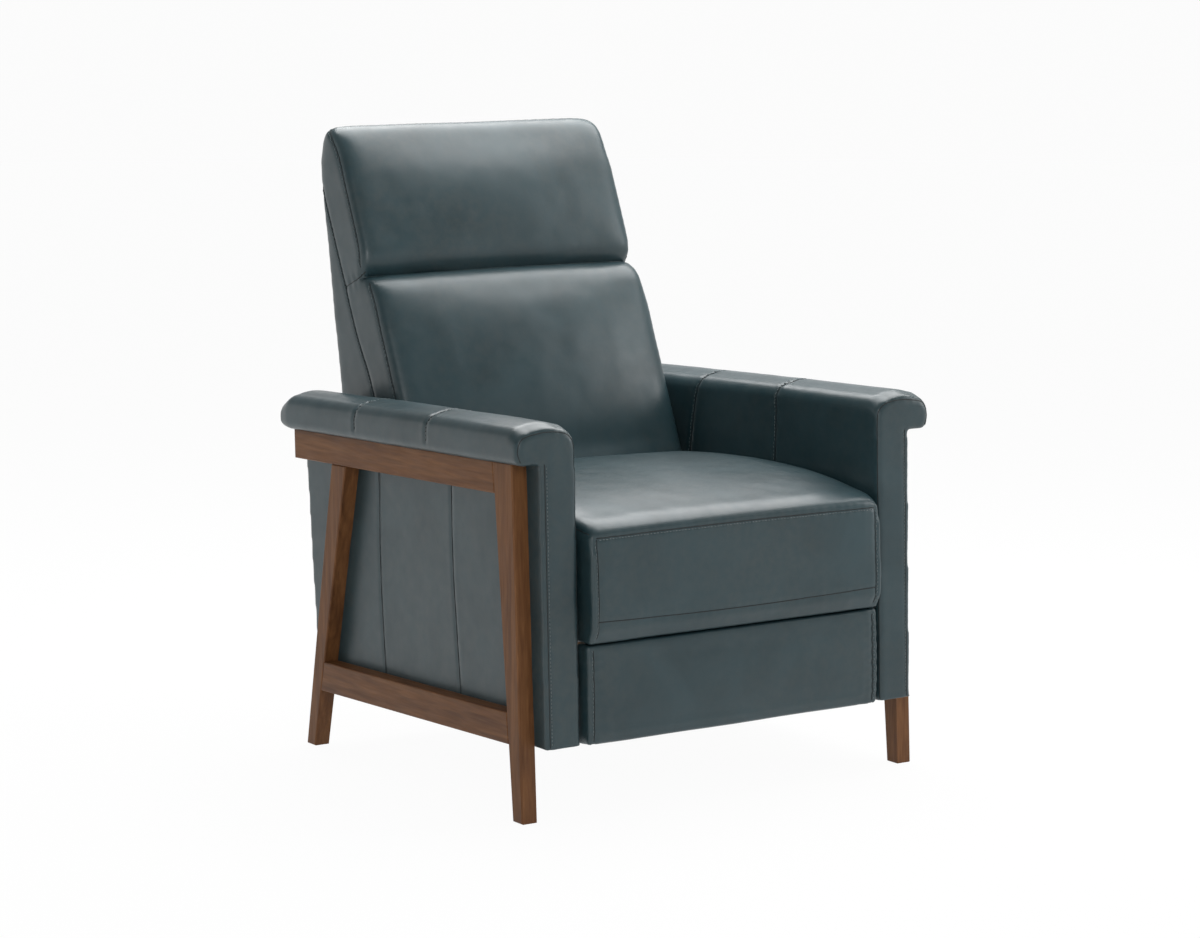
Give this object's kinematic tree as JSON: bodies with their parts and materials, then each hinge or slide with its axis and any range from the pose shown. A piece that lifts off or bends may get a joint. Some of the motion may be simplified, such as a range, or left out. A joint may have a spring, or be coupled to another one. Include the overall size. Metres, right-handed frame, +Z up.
{
  "type": "recliner armchair",
  "caption": "Push-back recliner armchair: leather seat, boxed back with a head cushion, padded arms on open wooden side frames, and a footrest that swings out as the back reclines.",
  "frame": {"origin": "on the floor, under the middle of the overall box in width and depth", "axes": "+Z is up, the chair faces -Y, and +X is the sitter's left"},
  "size_m": [0.792, 0.859, 1.0342],
  "materials": {
    "walnut": "satin",
    "frame_wood": "matte",
    "leather": "satin",
    "steel": "satin",
    "deck_cloth": "matte",
    "nylon": "matte"
  },
  "bodies": {
    "base": {"front_leg_left": "walnut", "front_leg_right": "walnut", "rear_leg_left": "walnut", "rear_leg_right": "walnut", "top_rail_left": "walnut", "top_rail_right": "walnut", "lower_rail_left": "walnut", "lower_rail_right": "walnut", "arm_core_left": "frame_wood", "arm_core_right": "frame_wood", "arm_cover_left": "leather", "arm_cover_right": "leather", "arm_pad_left": "leather", "arm_pad_right": "leather", "frame_dowels": "frame_wood", "foot_glides": "nylon", "front_cross_rail": "frame_wood", "rear_cross_rail": "frame_wood", "frame_bolts": "steel", "base_plates": "steel", "base_rivets": "steel"},
    "front_swing": {"front_swing_links": "steel"},
    "rear_swing": {"rear_swing_links": "steel"},
    "seat": {"seat_plates": "steel", "seat_rivets": "steel", "seat_side_rail_left": "frame_wood", "seat_side_rail_right": "frame_wood", "seat_front_rail": "frame_wood", "seat_rear_rail": "frame_wood", "seat_frame_screws": "steel", "seat_springs": "steel", "seat_spring_clips": "nylon", "seat_deck": "deck_cloth", "seat_cushion": "leather"},
    "back": {"back_stile_left": "frame_wood", "back_stile_right": "frame_wood", "back_bottom_rail": "frame_wood", "back_mid_rail": "frame_wood", "back_top_rail": "frame_wood", "back_springs": "steel", "back_spring_clips": "nylon", "back_brackets": "steel", "back_bracket_bolts": "steel", "outside_back": "leather", "back_side_panel_left": "leather", "back_side_panel_right": "leather", "lumbar_cushion": "leather", "head_cushion": "leather"},
    "drive": {"drive_links": "steel", "torque_tube": "steel", "stay_pins": "steel"},
    "guide": {"guide_links": "steel"},
    "carrier": {"carrier_links": "steel", "carrier_rivets": "steel"},
    "stay": {"stay_links": "steel"},
    "footrest": {"footrest_board": "frame_wood", "footrest_brackets": "steel", "footrest_rivets": "steel", "footrest_screws": "steel", "footrest_pad": "leather"}
  },
  "joints": [
    {"name": "back_recline", "type": "hinge", "parent": "seat", "child": "back", "pos_m": [0, 0.10549, 0.2735], "axis": [-1, 0, 0], "range_deg": [0, 34]},
    {"name": "front_swing_turn", "type": "hinge", "parent": "base", "child": "front_swing", "pos_m": [0, -0.14913, 0.14209], "axis": [1, 0, 0], "range_deg": [0, 34]},
    {"name": "seat_carry", "type": "hinge", "parent": "front_swing", "child": "seat", "pos_m": [0, -0.11503, 0.2414], "axis": [-1, 0, 0], "range_deg": [0, 34]},
    {"name": "rear_swing_turn", "type": "hinge", "parent": "base", "child": "rear_swing", "pos_m": [0, 0.05076, 0.13528], "axis": [1, 0, 0], "range_deg": [0, 34]},
    {"name": "drive_turn", "type": "hinge", "parent": "seat", "child": "drive", "pos_m": [0, -0.21677, 0.21243], "axis": [-1, 0, 0], "range_deg": [0, 146]},
    {"name": "guide_turn", "type": "hinge", "parent": "seat", "child": "guide", "pos_m": [0, -0.30084, 0.24131], "axis": [-1, 0, 0], "range_deg": [0, 146]},
    {"name": "carrier_turn", "type": "hinge", "parent": "drive", "child": "carrier", "pos_m": [0, -0.06701, 0.10382], "axis": [1, 0, 0], "range_deg": [0, 146]},
    {"name": "footrest_turn", "type": "hinge", "parent": "carrier", "child": "footrest", "pos_m": [0, -0.3532, 0.20213], "axis": [-1, 0, 0], "range_deg": [0, 86]},
    {"name": "stay_turn", "type": "hinge", "parent": "footrest", "child": "stay", "pos_m": [0, -0.29717, 0.22358], "axis": [1, 0, 0], "range_deg": [0, 93.54]}
  ],
  "couplings": [
    {"joint": "front_swing_turn", "follows": "back_recline", "ratio": 1},
    {"joint": "seat_carry", "follows": "back_recline", "ratio": 1},
    {"joint": "rear_swing_turn", "follows": "back_recline", "ratio": 1},
    {"joint": "drive_turn", "follows": "back_recline", "ratio": 4.2941},
    {"joint": "guide_turn", "follows": "back_recline", "ratio": 4.2941},
    {"joint": "carrier_turn", "follows": "back_recline", "ratio": 4.2941},
    {"joint": "footrest_turn", "follows": "back_recline", "ratio": 2.5294},
    {"joint": "stay_turn", "follows": "back_recline", "ratio": 2.7512}
  ]
}
